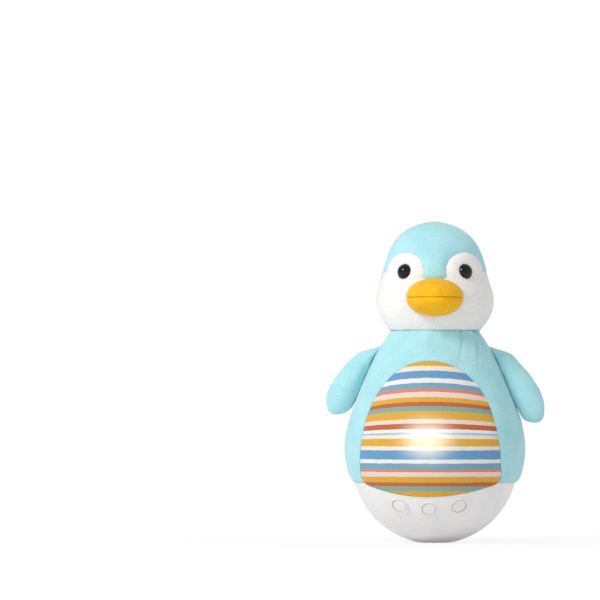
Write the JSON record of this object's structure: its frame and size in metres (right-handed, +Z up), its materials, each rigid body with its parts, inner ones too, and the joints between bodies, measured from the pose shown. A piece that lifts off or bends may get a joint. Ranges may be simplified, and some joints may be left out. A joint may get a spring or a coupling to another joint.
{
  "type": "roly poly toy",
  "caption": "Plush penguin tumbler on a weighted round plastic base, with push buttons, stuffed wings, a striped knit tummy lit from inside, speaker and battery bay.",
  "frame": {"origin": "centre of the small flat foot, on the floor", "axes": "+Z up, the face and tummy look along -Y, +X is the toy's own left"},
  "size_m": [0.1789, 0.1446, 0.2568],
  "materials": {
    "white_abs": "satin moulded",
    "inner_abs": "moulded",
    "cast_iron": "as cast",
    "screw_steel": "plated",
    "silicone": "matte",
    "circuit_board": "solder mask",
    "board_parts": "moulded",
    "battery_cell": "printed sleeve",
    "contact_steel": "nickel plated",
    "dark_plastic": "moulded",
    "speaker_steel": "pressed",
    "speaker_paper": "pressed pulp",
    "frosted_plastic": "frosted",
    "lamp_resin": "clear",
    "aqua_plush": "short pile",
    "white_plush": "short pile",
    "yellow_plush": "short pile",
    "striped_knit": "fine knit",
    "fibre_filling": "loose fibre",
    "elastic": "woven",
    "eye_plastic": "polished",
    "washer_plastic": "moulded"
  },
  "bodies": {
    "toy": {"base_bowl": "white_abs", "deck": "inner_abs", "deck_screws": "screw_steel", "counterweight": "cast_iron", "counterweight_screws": "screw_steel", "rubber_dome_left": "silicone", "rubber_dome_middle": "silicone", "rubber_dome_right": "silicone", "button_board": "circuit_board", "button_board_screws": "screw_steel", "battery_tub": "inner_abs", "battery_cells": "battery_cell", "contacts_left": "contact_steel", "contacts_right": "contact_steel", "switch_body": "dark_plastic", "main_board": "circuit_board", "main_board_parts": "board_parts", "main_board_screws": "screw_steel", "speaker_frame": "speaker_steel", "speaker_cone": "speaker_paper", "speaker_magnet": "speaker_steel", "speaker_screws": "screw_steel", "light_dome": "frosted_plastic", "light_dome_screws": "screw_steel", "lamp_stand": "inner_abs", "lamp_board": "circuit_board", "lamps": "lamp_resin", "body_jacket": "aqua_plush", "tummy_panel": "striped_knit", "body_filling": "fibre_filling", "hem_elastic": "elastic", "head_crown": "aqua_plush", "face_panel": "white_plush", "head_filling": "fibre_filling", "beak_upper": "yellow_plush", "beak_lower": "yellow_plush", "eye_left": "eye_plastic", "eye_right": "eye_plastic", "eye_washers": "washer_plastic"},
    "button_left": {"button_left": "white_abs"},
    "button_middle": {"button_middle": "white_abs"},
    "button_right": {"button_right": "white_abs"},
    "wing_left": {"wing_left": "aqua_plush"},
    "wing_right": {"wing_right": "aqua_plush"},
    "battery_door": {"battery_door": "white_abs", "door_screw": "screw_steel"},
    "power_switch": {"switch_knob": "dark_plastic"}
  },
  "joints": [
    {"name": "press_left", "type": "slide", "parent": "toy", "child": "button_left", "axis": [0, 0.829, 0.5592], "range_m": [0, 0.0012], "stiffness_N_per_m": 1500, "deforming": ["rubber_dome_left"]},
    {"name": "press_middle", "type": "slide", "parent": "toy", "child": "button_middle", "axis": [0, 0.829, 0.5592], "range_m": [0, 0.0012], "stiffness_N_per_m": 1500, "deforming": ["rubber_dome_middle"]},
    {"name": "press_right", "type": "slide", "parent": "toy", "child": "button_right", "axis": [0, 0.829, 0.5592], "range_m": [0, 0.0012], "stiffness_N_per_m": 1500, "deforming": ["rubber_dome_right"]},
    {"name": "raise_wing_left", "type": "hinge", "parent": "toy", "child": "wing_left", "pos_m": [0.0486, 0, 0.1545], "axis": [0, -1, 0], "range_deg": [0, 60]},
    {"name": "raise_wing_right", "type": "hinge", "parent": "toy", "child": "wing_right", "pos_m": [-0.0486, 0, 0.1545], "axis": [0, 1, 0], "range_deg": [0, 60]},
    {"name": "lift_battery_door", "type": "slide", "parent": "toy", "child": "battery_door", "axis": [0, 0.809, -0.5878], "range_m": [0, 0.02]},
    {"name": "slide_power_switch", "type": "slide", "parent": "toy", "child": "power_switch", "axis": [0.394, 0.3078, 0.866], "range_m": [0, 0.004]}
  ]
}
